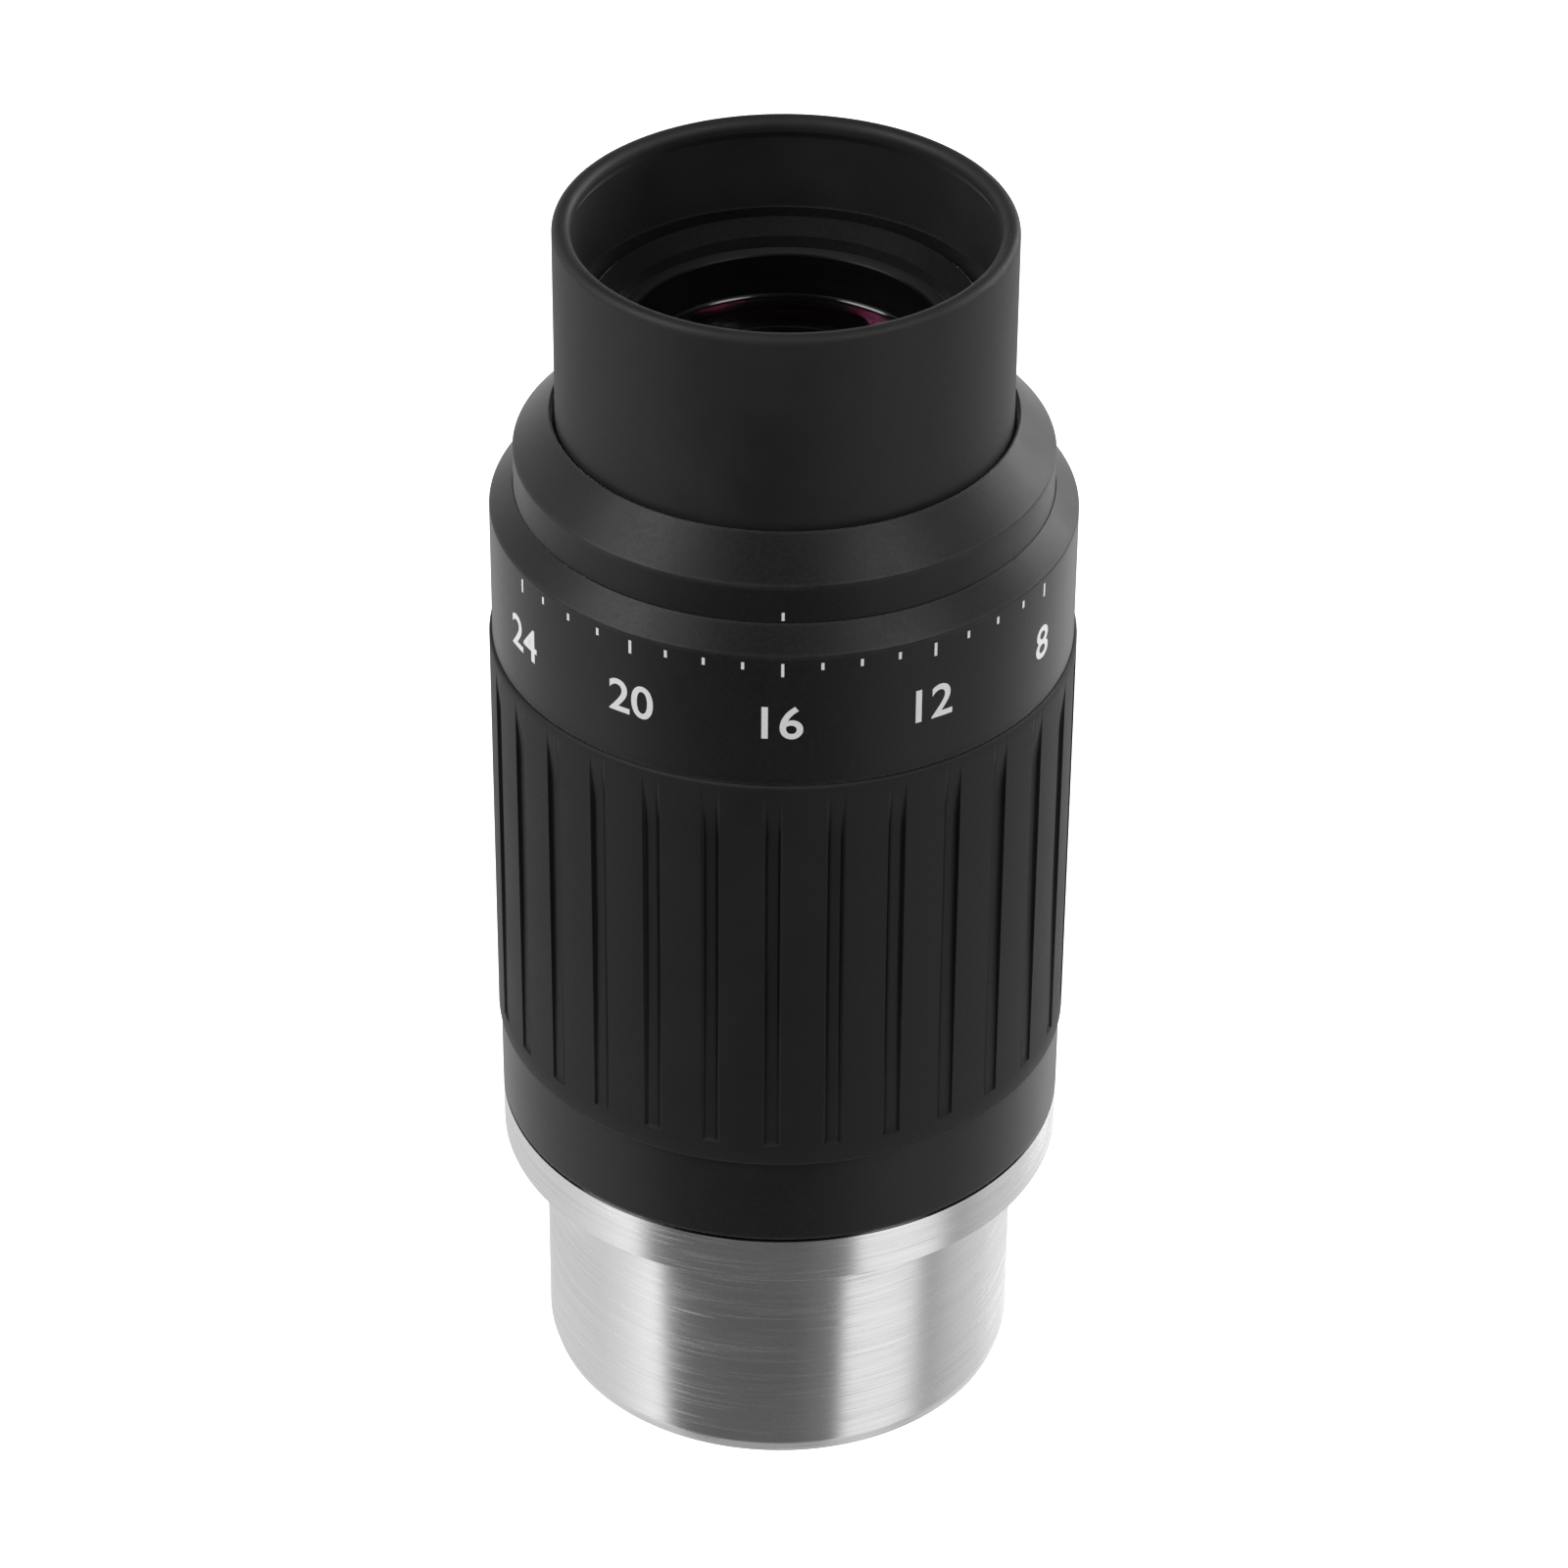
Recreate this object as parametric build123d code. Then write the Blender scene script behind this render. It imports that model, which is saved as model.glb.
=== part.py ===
from build123d import *

import os
from math import pi, radians, sqrt

# A zoom eyepiece for telescopes with a 2-inch focuser, in millimetres.
# Z is the optical axis. The open end of the nosepiece is at z = 0 and the eyecup is at the top.
# The model shows the zoom ring in the middle of its turn and the eyecup wound up.

# ---- Clearances -------------------------------------------------------------------------------
RUNNING = 0.05      # radial clearance of a turning or sliding fit
ROLLING = 0.06      # play of a roller or pin on each side of its slot
THREAD = 0.02       # radial gap left where two parts of one assembly screw together
CEMENT = 0.02       # thickness of the cement between two lenses
BREAK = 0.2         # broken edge of a turned part

# ---- Nosepiece and its flange -----------------------------------------------------------------
NOSE_RADIUS = 25.35
NOSE_EDGE_RADIUS = 24.92
NOSE_CHAMFER_TOP = 1.44
FILTER_THREAD_RADIUS = 23.6     # crest of the M48 x 0.75 filter thread
FILTER_MOUTH_RADIUS = 24.2
FILTER_THREAD_BOTTOM = 0.6
FILTER_THREAD_TOP = 6.0
NOSE_BORE_RADIUS = 23.2
NOSE_RELIEF_RADIUS = 25.0       # groove that lets a focuser meet the flange squarely
NOSE_RELIEF_BOTTOM = 27.4
NOSE_SPIGOT_RADIUS = 24.6
FLANGE_RADIUS = 29.92
FLANGE_BOTTOM = 27.7
FLANGE_TOP = 33.24
NOSE_SEAT = 28.2                # height to which the nosepiece is let into the flange
NOSE_SPIGOT_TOP = 30.3
FLANGE_WEB_TOP = 31.4
FLANGE_BORE_RADIUS = 20.5
BOSS_TOP = 36.4

# ---- Guide tube, cam sleeve and zoom ring -----------------------------------------------------
GUIDE_BORE_RADIUS = 20.35
GUIDE_RADIUS = 22.35
GUIDE_TOP = 95.0
CAM_BORE_RADIUS = GUIDE_RADIUS + RUNNING
CAM_RADIUS = 24.95
CAM_BOTTOM = 37.0
CAM_TOP = 90.6
RING_BORE_RADIUS = 25.0
RING_BOTTOM = 33.4
LOWER_BAND_RADIUS = 29.93
LOWER_BAND_TOP = 43.3
GRIP_SEAT_RADIUS = 28.4
UPPER_BAND_BOTTOM = 90.8
UPPER_BAND_RADIUS = 29.88
UPPER_BAND_TOP = 105.8
RING_MOUTH_RADIUS = 27.6
RING_SHOULDER = 91.0
RING_TOP = 108.25

GRIP_RADIUS = 30.2
GRIP_EDGE = 0.35
CHANNEL_COUNT = 30
CHANNEL_WIDTH = 1.8
CHANNEL_DEPTH = 0.65            # half way up
CHANNEL_END_DEPTH = 0.15        # at the square lower end
CHANNEL_BOTTOM = 46.0
CHANNEL_TOP = 90.2              # the floor has left the rubber a little below this height
CHANNEL_ANGLE = -91.6           # one channel lies just beside the front, which is at -90 degrees

# ---- Movements --------------------------------------------------------------------------------
ZOOM_TURN = 120.0               # degrees, half of it each way from the modelled position
MIDDLE_TRAVEL = 12.0            # the middle lenses rise as the ring turns anticlockwise
FIELD_TRAVEL = 10.0             # and the field lenses sink
EYECUP_TURN = 120.0
EYECUP_TRAVEL = 10.0

GUIDE_ANGLES = (30.0, 150.0, 270.0)
MIDDLE_PIN_HEIGHT = 72.0
FIELD_PIN_HEIGHT = 50.0
ROLLER_RADIUS = 1.5
ROLLER_BORE_RADIUS = 0.95
PIN_RADIUS = 0.9
PIN_HEAD_RADIUS = 1.4
PIN_INNER_END = 18.1
PIN_HEAD_SEAT = 24.2
PIN_OUTER_END = 24.7
ROLLER_INNER_END = 20.45
ROLLER_OUTER_END = 24.15
SLOT_END_PLAY = 0.15

# ---- Small screws -----------------------------------------------------------------------------
SCREW_RADIUS = 1.0
SCREW_HOLE_RADIUS = 1.02
SCREW_HEAD_RADIUS = 1.9
SCREW_HEAD_HOLE_RADIUS = 1.95
SCREW_ANGLES = (90.0, 210.0, 330.0)
GUIDE_SCREW_HEIGHT = 34.3
DRIVE_SCREW_HEIGHT = 60.5
DRIVE_SCREW_HEAD_SEAT = 26.6
HEAD_SCREW_HEIGHT = 93.5
CAP_SCREW_HEIGHT = 98.5

# ---- Fixed head: head tube, shoulder cap and eye lens cell ------------------------------------
HEAD_FLANGE_BOTTOM = 92.0
HEAD_FLANGE_TOP = 96.0
HEAD_FLANGE_RADIUS = RING_MOUTH_RADIUS - 0.07
HEAD_BOSS_RADIUS = 24.6
HEAD_BOSS_BORE_RADIUS = 23.5
HEAD_BOSS_TOP = 101.0
HEAD_RADIUS = 21.25
HEAD_THREAD_RADIUS = 19.72
HEAD_LEDGE = 104.0
HEAD_LIGHT_RADIUS = 18.6
HEAD_TOP = 124.5

SHOULDER_RADIUS = 27.4
SHOULDER_TOP = 112.3
CONE_TOP = 116.4
CONE_TOP_RADIUS = 23.6
CAP_THREAD_TOP = 101.2

CELL_RADIUS = HEAD_THREAD_RADIUS - THREAD
CELL_BORE_RADIUS = 17.22
CELL_LIP_RADIUS = 15.9
CELL_LIP_TOP = 105.2
CELL_TOP = 127.3
CELL_DISH_RADIUS = 17.4
CELL_DISH_BOTTOM = 126.2
CELL_STEP = 125.2

EYE_LENS_RADIUS = CELL_BORE_RADIUS - 0.05
EYE_RING_BORE_RADIUS = 15.7
EYE_RING_LIP_RADIUS = 15.45         # sloped lip at the ring's foot, which bears on the lens
EYE_RING_TOP = 125.0
EYE_LENS_EDGE_TOP = 120.13
EYE_LENS_EDGE_BOTTOM = 116.1
EYE_SPACER_BOTTOM = 112.6
EYE_CEMENT_HEIGHT = 109.0

# ---- Eyecup -----------------------------------------------------------------------------------
SLEEVE_BORE_RADIUS = HEAD_RADIUS + RUNNING
SLEEVE_RADIUS = 22.3
SLEEVE_BOTTOM = 106.5
SLEEVE_TOP = 127.4
CUP_RADIUS = 23.08
CUP_BOTTOM = 114.0
CUP_INNER_RADIUS = 21.6
CUP_TOP = 137.5
CUP_BEAD_RADIUS = 21.2
CUP_BEAD_BOTTOM = 136.1
CUP_BEAD_FOOT = 135.3
RIM_INNER_ROUND = 1.0
GLIDE_GROOVE_RADIUS = 21.8
GLIDE_GROOVE_BOTTOM = 107.5
GLIDE_GROOVE_TOP = 109.0
GLIDE_PLAY = 0.08
CUP_PIN_HEIGHT = 111.5
CUP_PIN_INNER_END = 19.9
CUP_PIN_OUTER_END = 22.15

# ---- Middle lens group ------------------------------------------------------------------------
CARRIAGE_RADIUS = GUIDE_BORE_RADIUS - RUNNING
MIDDLE_BOTTOM = 64.5
MIDDLE_TOP = 80.5
MIDDLE_LAND = 3.5               # height of each of the two bearing lands
MIDDLE_RELIEF_RADIUS = 19.8
MIDDLE_LIP_RADIUS = 15.0
MIDDLE_LIP_TOP = 67.5
MIDDLE_BORE_RADIUS = 16.45
MIDDLE_CEMENT_HEIGHT = 71.0
MIDDLE_LENS_TOP = 75.0
MIDDLE_RING_TOP = 77.5

# ---- Field lens group -------------------------------------------------------------------------
FIELD_BOTTOM = 16.0
FIELD_LAND_BOTTOM = 44.0
FIELD_TOP = 52.7
FIELD_NECK_RADIUS = 19.4
FIELD_MOUTH_RADIUS = 17.9
FIELD_BORE_RADIUS = 17.2
FIELD_LIP_RADIUS = 15.6
FIELD_LIP_BOTTOM = 28.0
FIELD_LIP_TOP = 29.5
FIELD_STOP_SEAT = 47.0
FIELD_STOP_SEAT_RADIUS = 18.0
FIELD_STOP_APERTURE = 14.5
FIELD_STOP_THICKNESS = 0.6
FIELD_RING_BOTTOM = 17.0
FIELD_LENS_BOTTOM = 19.0
FIELD_CEMENT_HEIGHT = 24.0


# ---- Shared shapes ----------------------------------------------------------------------------
def upright_face(*curves):
    """A face in the XZ plane, bounded by curves whose points are (radius, height)."""
    return make_face([edge for curve in curves for edge in (Plane.XZ * curve).edges()])


def turned(*outline):
    """A solid turned about Z from a closed outline of (radius, height) points."""
    return revolve(upright_face(Polyline(*outline, close=True)), axis=Axis.Z)


def turned_curves(*curves):
    """A solid turned about Z from an outline of lines and arcs."""
    return revolve(upright_face(*curves), axis=Axis.Z)


def tube(inner, outer, bottom, top):
    """A plain tube or washer about Z."""
    return turned((inner, bottom), (outer, bottom), (outer, top), (inner, top))


def radial_rod(radius, inner_end, outer_end, angle, height):
    """A round rod that points away from the Z axis."""
    length = outer_end - inner_end
    rod = Cylinder(radius, length, rotation=(0, 90, 0), align=(Align.CENTER, Align.CENTER, Align.MIN))
    return Rot(0, 0, angle) * Pos(inner_end, 0, height) * rod


def on_angles(shape_at, angles):
    """One shape for each angle, kept as separate solids in one compound."""
    return Compound(children=[shape_at(angle) for angle in angles])


def dished_edge(radius, edge_height, bulge):
    """Half the section of a lens face: an arc from its edge to the axis, raised there by bulge."""
    if bulge == 0:
        return Line((radius, edge_height), (0, edge_height))
    sphere = (radius**2 + bulge**2) / (2 * abs(bulge))
    fall = sphere - sqrt(sphere**2 - (radius / 2) ** 2)
    middle_height = edge_height + bulge - fall * (1 if bulge > 0 else -1)
    return ThreePointArc((radius, edge_height), (radius / 2, middle_height), (0, edge_height + bulge))


def lens(radius, bottom, top, bottom_bulge, top_bulge, bottom_clear=None, top_clear=None):
    """A round lens. A bulge is positive upward, and a clear radius leaves a flat rim outside it."""
    bottom_clear = bottom_clear or radius
    top_clear = top_clear or radius
    rim = [(bottom_clear, bottom), (radius, bottom), (radius, top), (top_clear, top)]
    rim = [point for place, point in enumerate(rim) if place == 0 or point != rim[place - 1]]
    return turned_curves(
        Polyline(*rim),
        dished_edge(top_clear, top, top_bulge),
        Line((0, top + top_bulge), (0, bottom + bottom_bulge)),
        dished_edge(bottom_clear, bottom, bottom_bulge),
    )


def retaining_ring(inner, outer, bottom, top, notched_face):
    """A threaded ring with two notches for a spanner, cut across its top (+1) or bottom (-1) face."""
    notch_width = 2.0
    notch_depth = 0.8
    ring = tube(inner, outer, bottom, top)
    face = top if notched_face > 0 else bottom
    return ring - Pos(0, 0, face) * Box(2 * outer + 1, notch_width, 2 * notch_depth)


def straight_slot(angle, height, travel):
    """A cutter for a slot along Z in the guide tube, with round ends."""
    half_width = ROLLER_RADIUS + ROLLING
    length = travel + 2 * (half_width + SLOT_END_PLAY)
    outline = SlotOverall(length, 2 * half_width, rotation=90)
    cutter = extrude(Plane.YZ * outline, GUIDE_RADIUS + 1)
    beyond_axis = Pos(GUIDE_BORE_RADIUS / 2, 0, height)
    return Rot(0, 0, angle) * beyond_axis * cutter


def helical_slot(angle, height, rise, first_turn, last_turn, half_width, inner, outer):
    """A cutter for a screw-shaped slot through a sleeve.

    The middle of the slot passes angle + t at height + rise * t, for t from first_turn to last_turn,
    both in radians. A negative rise gives a left-handed slot.
    """
    middle_radius = (inner + outer) / 2
    end_room = (half_width + SLOT_END_PLAY) / middle_radius
    start = first_turn - end_room
    span = last_turn - first_turn + 2 * end_room
    half_height = half_width * sqrt(1 + (rise / middle_radius) ** 2)
    lowest = start if rise > 0 else start + span
    path = Helix(2 * pi * abs(rise), abs(rise) * span, middle_radius, lefthand=rise < 0)
    section = Plane.XZ * Pos(middle_radius, 0) * Rectangle(outer - inner + 2, 2 * half_height)
    cutter = sweep(section, path=path, is_frenet=True)
    turn = angle + lowest * 180 / pi
    return Pos(0, 0, height + rise * lowest) * Rot(0, 0, turn) * cutter


# ---- Nosepiece, flange and guide tube ---------------------------------------------------------
def nosepiece_barrel():
    """Plain 2-inch barrel with a filter thread in its mouth and a threaded spigot on top."""
    return turned(
        (FILTER_MOUTH_RADIUS, 0),
        (NOSE_EDGE_RADIUS, 0),
        (NOSE_RADIUS, NOSE_CHAMFER_TOP),
        (NOSE_RADIUS, NOSE_RELIEF_BOTTOM),
        (NOSE_RELIEF_RADIUS, NOSE_RELIEF_BOTTOM),
        (NOSE_RELIEF_RADIUS, NOSE_SEAT),
        (NOSE_SPIGOT_RADIUS, NOSE_SEAT),
        (NOSE_SPIGOT_RADIUS, NOSE_SPIGOT_TOP),
        (NOSE_BORE_RADIUS, NOSE_SPIGOT_TOP),
        (NOSE_BORE_RADIUS, FILTER_THREAD_TOP),
        (FILTER_THREAD_RADIUS, FILTER_THREAD_TOP),
        (FILTER_THREAD_RADIUS, FILTER_THREAD_BOTTOM),
    )


def base_flange():
    """Bright flange that stops the barrel in the focuser. Its boss carries the foot of the zoom ring."""
    spigot_hole = NOSE_SPIGOT_RADIUS + THREAD
    nose_seat = NOSE_RADIUS + RUNNING
    guide_seat = GUIDE_RADIUS + THREAD
    boss_radius = RING_BORE_RADIUS - RUNNING
    spigot_hole_top = NOSE_SPIGOT_TOP + 0.1
    flange = turned(
        (nose_seat, FLANGE_BOTTOM),
        (FLANGE_RADIUS - BREAK, FLANGE_BOTTOM),
        (FLANGE_RADIUS, FLANGE_BOTTOM + BREAK),
        (FLANGE_RADIUS, FLANGE_TOP - BREAK),
        (FLANGE_RADIUS - BREAK, FLANGE_TOP),
        (boss_radius, FLANGE_TOP),
        (boss_radius, BOSS_TOP),
        (guide_seat, BOSS_TOP),
        (guide_seat, FLANGE_WEB_TOP),
        (FLANGE_BORE_RADIUS, FLANGE_WEB_TOP),
        (FLANGE_BORE_RADIUS, spigot_hole_top),
        (spigot_hole, spigot_hole_top),
        (spigot_hole, NOSE_SEAT),
        (nose_seat, NOSE_SEAT),
    )
    return flange - screw_holes(GUIDE_RADIUS - 1, boss_radius + 1, GUIDE_SCREW_HEIGHT)


def guide_tube():
    """Fixed tube in which both lens groups slide, with a straight slot for each guide pin."""
    body = tube(GUIDE_BORE_RADIUS, GUIDE_RADIUS, FLANGE_WEB_TOP, GUIDE_TOP)
    for angle in GUIDE_ANGLES:
        body -= straight_slot(angle, MIDDLE_PIN_HEIGHT, MIDDLE_TRAVEL)
        body -= straight_slot(angle, FIELD_PIN_HEIGHT, FIELD_TRAVEL)
    for height in (GUIDE_SCREW_HEIGHT, HEAD_SCREW_HEIGHT):
        body -= screw_holes(GUIDE_BORE_RADIUS - 1, GUIDE_RADIUS + 1, height)
    return body


def screw_holes(inner_end, outer_end, height):
    """Cutters for one round of radial screw holes."""
    return [radial_rod(SCREW_HOLE_RADIUS, inner_end, outer_end, angle, height) for angle in SCREW_ANGLES]


def set_screws(inner_end, outer_end, height):
    """One round of radial set screws, each with a hexagon socket in its outer end."""
    socket_width = 0.9
    socket_depth = 1.0

    def screw(angle):
        rod = radial_rod(SCREW_RADIUS, inner_end, outer_end, angle, height)
        hexagon = Plane.YZ * RegularPolygon(socket_width / 2, 6, major_radius=False)
        socket = Pos(outer_end - socket_depth, 0, height) * extrude(hexagon, socket_depth + 1)
        return rod - Rot(0, 0, angle) * socket

    return on_angles(screw, SCREW_ANGLES)


def lower_glide_washer():
    """Slippery washer between the flange's boss and the cam sleeve."""
    side_play = 0.1
    return tube(GUIDE_RADIUS + side_play, CAM_RADIUS - side_play, BOSS_TOP + RUNNING, CAM_BOTTOM - RUNNING)


def upper_glide_washer():
    """Slippery washer between the zoom ring's inner shoulder and the fixed head."""
    side_play = 0.3
    end_play = 0.1
    return tube(
        RING_BORE_RADIUS + side_play,
        RING_MOUTH_RADIUS - side_play,
        RING_SHOULDER + end_play,
        HEAD_FLANGE_BOTTOM - end_play,
    )


# ---- Zoom ring --------------------------------------------------------------------------------
def zoom_ring():
    """Black turning housing: two smooth bands with a seat for the rubber grip between them."""
    lip = 0.15
    body = turned(
        (RING_BORE_RADIUS, RING_BOTTOM),
        (LOWER_BAND_RADIUS - BREAK / 2, RING_BOTTOM),
        (LOWER_BAND_RADIUS, RING_BOTTOM + BREAK / 2),
        (LOWER_BAND_RADIUS, LOWER_BAND_TOP),
        (GRIP_SEAT_RADIUS, LOWER_BAND_TOP),
        (GRIP_SEAT_RADIUS, UPPER_BAND_BOTTOM),
        (UPPER_BAND_RADIUS, UPPER_BAND_BOTTOM),
        (UPPER_BAND_RADIUS, UPPER_BAND_TOP),
        (RING_MOUTH_RADIUS + lip, RING_TOP - lip / 2),
        (RING_MOUTH_RADIUS + lip / 2, RING_TOP),
        (RING_MOUTH_RADIUS, RING_TOP - lip / 2),
        (RING_MOUTH_RADIUS, RING_SHOULDER),
        (RING_BORE_RADIUS, RING_SHOULDER),
    )
    height = DRIVE_SCREW_HEIGHT
    for angle in SCREW_ANGLES:
        body -= radial_rod(SCREW_HOLE_RADIUS, RING_BORE_RADIUS - 1, GRIP_SEAT_RADIUS, angle, height)
        body -= radial_rod(
            SCREW_HEAD_HOLE_RADIUS, DRIVE_SCREW_HEAD_SEAT, GRIP_SEAT_RADIUS + 1, angle, height
        )
    return body


def grip_channel():
    """A cutter for one long channel in the grip: it runs out at the top and stops short at the bottom."""
    middle = (CHANNEL_TOP + CHANNEL_BOTTOM) / 2
    floor_radius = GRIP_RADIUS - CHANNEL_DEPTH
    end_radius = GRIP_RADIUS - CHANNEL_END_DEPTH
    run_out_radius = GRIP_RADIUS + 0.1
    outside = GRIP_RADIUS + 1.5
    section = upright_face(
        ThreePointArc((end_radius, CHANNEL_BOTTOM), (floor_radius, middle), (run_out_radius, CHANNEL_TOP)),
        Polyline(
            (run_out_radius, CHANNEL_TOP),
            (outside, CHANNEL_TOP),
            (outside, CHANNEL_BOTTOM),
            (end_radius, CHANNEL_BOTTOM),
        ),
    )
    return extrude(section, CHANNEL_WIDTH / 2, both=True)


def grip_rubber():
    """Rubber grip pushed over its seat, with thirty long shallow channels."""
    inner = GRIP_SEAT_RADIUS + THREAD
    bottom = LOWER_BAND_TOP + THREAD
    top = UPPER_BAND_BOTTOM - THREAD
    body = turned(
        (inner, bottom),
        (GRIP_RADIUS - GRIP_EDGE, bottom),
        (GRIP_RADIUS, bottom + GRIP_EDGE),
        (GRIP_RADIUS, top - GRIP_EDGE),
        (GRIP_RADIUS - GRIP_EDGE, top),
        (inner, top),
    )
    channel = grip_channel()
    pitch = 360 / CHANNEL_COUNT
    return body - [Rot(0, 0, CHANNEL_ANGLE + place * pitch) * channel for place in range(CHANNEL_COUNT)]


def cam_sleeve():
    """Sleeve turned by the zoom ring. One set of helical slots drives each lens group."""
    body = tube(CAM_BORE_RADIUS, CAM_RADIUS, CAM_BOTTOM, CAM_TOP)
    half_turn = radians(ZOOM_TURN / 2)
    half_width = ROLLER_RADIUS + ROLLING
    slots = (
        (MIDDLE_PIN_HEIGHT, -MIDDLE_TRAVEL / radians(ZOOM_TURN)),
        (FIELD_PIN_HEIGHT, FIELD_TRAVEL / radians(ZOOM_TURN)),
    )
    for height, rise in slots:
        for angle in GUIDE_ANGLES:
            body -= helical_slot(
                angle, height, rise, -half_turn, half_turn, half_width, CAM_BORE_RADIUS, CAM_RADIUS
            )
    return body - screw_holes(CAM_BORE_RADIUS - 1, CAM_RADIUS + 1, DRIVE_SCREW_HEIGHT)


def drive_screws():
    """Screws under the grip that lock the zoom ring to the cam sleeve."""
    tip = CAM_BORE_RADIUS + 0.4
    head_seat = DRIVE_SCREW_HEAD_SEAT
    head_top = GRIP_SEAT_RADIUS - 0.2
    height = DRIVE_SCREW_HEIGHT
    slot_width = 0.5
    slot_depth = 0.6

    def screw(angle):
        shank = radial_rod(SCREW_RADIUS, tip, head_seat, angle, height)
        head = radial_rod(SCREW_HEAD_RADIUS, head_seat, head_top, angle, height)
        blade = Box(2 * slot_depth, 2 * SCREW_HEAD_RADIUS + 1, slot_width)
        return shank + head - Rot(0, 0, angle) * Pos(head_top, 0, height) * blade

    return on_angles(screw, SCREW_ANGLES)


# ---- Fixed head -------------------------------------------------------------------------------
def head_tube():
    """Fixed head on top of the guide tube. It holds the eye lens cell and guides the eyecup."""
    guide_seat = GUIDE_RADIUS + THREAD
    body = turned(
        (guide_seat, HEAD_FLANGE_BOTTOM),
        (HEAD_FLANGE_RADIUS, HEAD_FLANGE_BOTTOM),
        (HEAD_FLANGE_RADIUS, HEAD_FLANGE_TOP),
        (HEAD_BOSS_RADIUS, HEAD_FLANGE_TOP),
        (HEAD_BOSS_RADIUS, HEAD_BOSS_TOP),
        (HEAD_BOSS_BORE_RADIUS, HEAD_BOSS_TOP),
        (HEAD_BOSS_BORE_RADIUS, HEAD_FLANGE_TOP),
        (HEAD_RADIUS, HEAD_FLANGE_TOP),
        (HEAD_RADIUS, HEAD_TOP),
        (HEAD_THREAD_RADIUS, HEAD_TOP),
        (HEAD_THREAD_RADIUS, HEAD_LEDGE),
        (HEAD_LIGHT_RADIUS, HEAD_LEDGE),
        (HEAD_LIGHT_RADIUS, GUIDE_TOP),
        (guide_seat, GUIDE_TOP),
    )
    body -= screw_holes(GUIDE_RADIUS - 1, HEAD_FLANGE_RADIUS + 1, HEAD_SCREW_HEIGHT)
    body -= screw_holes(HEAD_BOSS_BORE_RADIUS - 1, HEAD_BOSS_RADIUS + 1, CAP_SCREW_HEIGHT)
    pin_hole = PIN_RADIUS + THREAD
    for angle in GUIDE_ANGLES:
        body -= radial_rod(pin_hole, HEAD_THREAD_RADIUS - 1, HEAD_RADIUS + 1, angle, CUP_PIN_HEIGHT)
    return body


def shoulder_cap():
    """Black cap screwed onto the head: a narrow band and a cone that closes in on the eyecup."""
    thread_hole = HEAD_BOSS_RADIUS + THREAD
    edge = 0.12
    body = turned(
        (thread_hole, HEAD_FLANGE_TOP),
        (SHOULDER_RADIUS, HEAD_FLANGE_TOP),
        (SHOULDER_RADIUS, SHOULDER_TOP - edge),
        (SHOULDER_RADIUS - edge, SHOULDER_TOP + edge),
        (CONE_TOP_RADIUS + edge, CONE_TOP - edge / 2),
        (CONE_TOP_RADIUS, CONE_TOP - edge),
        (CONE_TOP_RADIUS, CAP_THREAD_TOP),
        (thread_hole, CAP_THREAD_TOP),
    )
    return body - screw_holes(HEAD_BOSS_RADIUS - 1, SHOULDER_RADIUS + 1, CAP_SCREW_HEIGHT)


def eye_lens_cell():
    """Cell of the eye lenses, with a dished top face round the glass."""
    top_edge = 0.15
    return turned(
        (CELL_LIP_RADIUS, HEAD_LEDGE),
        (CELL_RADIUS, HEAD_LEDGE),
        (CELL_RADIUS, CELL_TOP - top_edge),
        (CELL_RADIUS - top_edge, CELL_TOP),
        (CELL_DISH_RADIUS, CELL_DISH_BOTTOM),
        (CELL_BORE_RADIUS, CELL_STEP),
        (CELL_BORE_RADIUS, CELL_LIP_TOP),
        (CELL_LIP_RADIUS, CELL_LIP_TOP),
    )


def eye_lens_retaining_ring():
    """Deep blackened ring that holds the eye lenses down in their cell."""
    edge = 0.15
    outer = CELL_BORE_RADIUS - THREAD
    bottom = EYE_LENS_EDGE_TOP + THREAD
    lip_top = bottom + 0.1
    return turned(
        (EYE_RING_LIP_RADIUS, bottom),
        (outer, bottom),
        (outer, EYE_RING_TOP),
        (EYE_RING_BORE_RADIUS + edge, EYE_RING_TOP),
        (EYE_RING_BORE_RADIUS, EYE_RING_TOP - edge),
        (EYE_RING_BORE_RADIUS, lip_top + EYE_RING_BORE_RADIUS - EYE_RING_LIP_RADIUS),
        (EYE_RING_LIP_RADIUS, lip_top),
    )


def eye_lens_front():
    """The lens next to the eye, domed on both faces and most strongly towards the eye."""
    clear = EYE_RING_LIP_RADIUS
    return lens(EYE_LENS_RADIUS, EYE_LENS_EDGE_BOTTOM, EYE_LENS_EDGE_TOP, -2.0, 2.9, clear, clear)


def eye_lens_spacer():
    """Ring between the eye lens and the doublet below it."""
    return tube(CELL_LIP_RADIUS, EYE_LENS_RADIUS, EYE_SPACER_BOTTOM, EYE_LENS_EDGE_BOTTOM)


def eye_doublet_crown():
    """Upper half of the cemented eye doublet."""
    clear = EYE_RING_BORE_RADIUS
    return lens(EYE_LENS_RADIUS, EYE_CEMENT_HEIGHT, EYE_SPACER_BOTTOM, -2.6, 1.2, None, clear)


def eye_doublet_flint():
    """Lower half of the cemented eye doublet, resting on the cell's lip."""
    return lens(EYE_LENS_RADIUS, CELL_LIP_TOP, EYE_CEMENT_HEIGHT - CEMENT, 0, -2.6)


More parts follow.
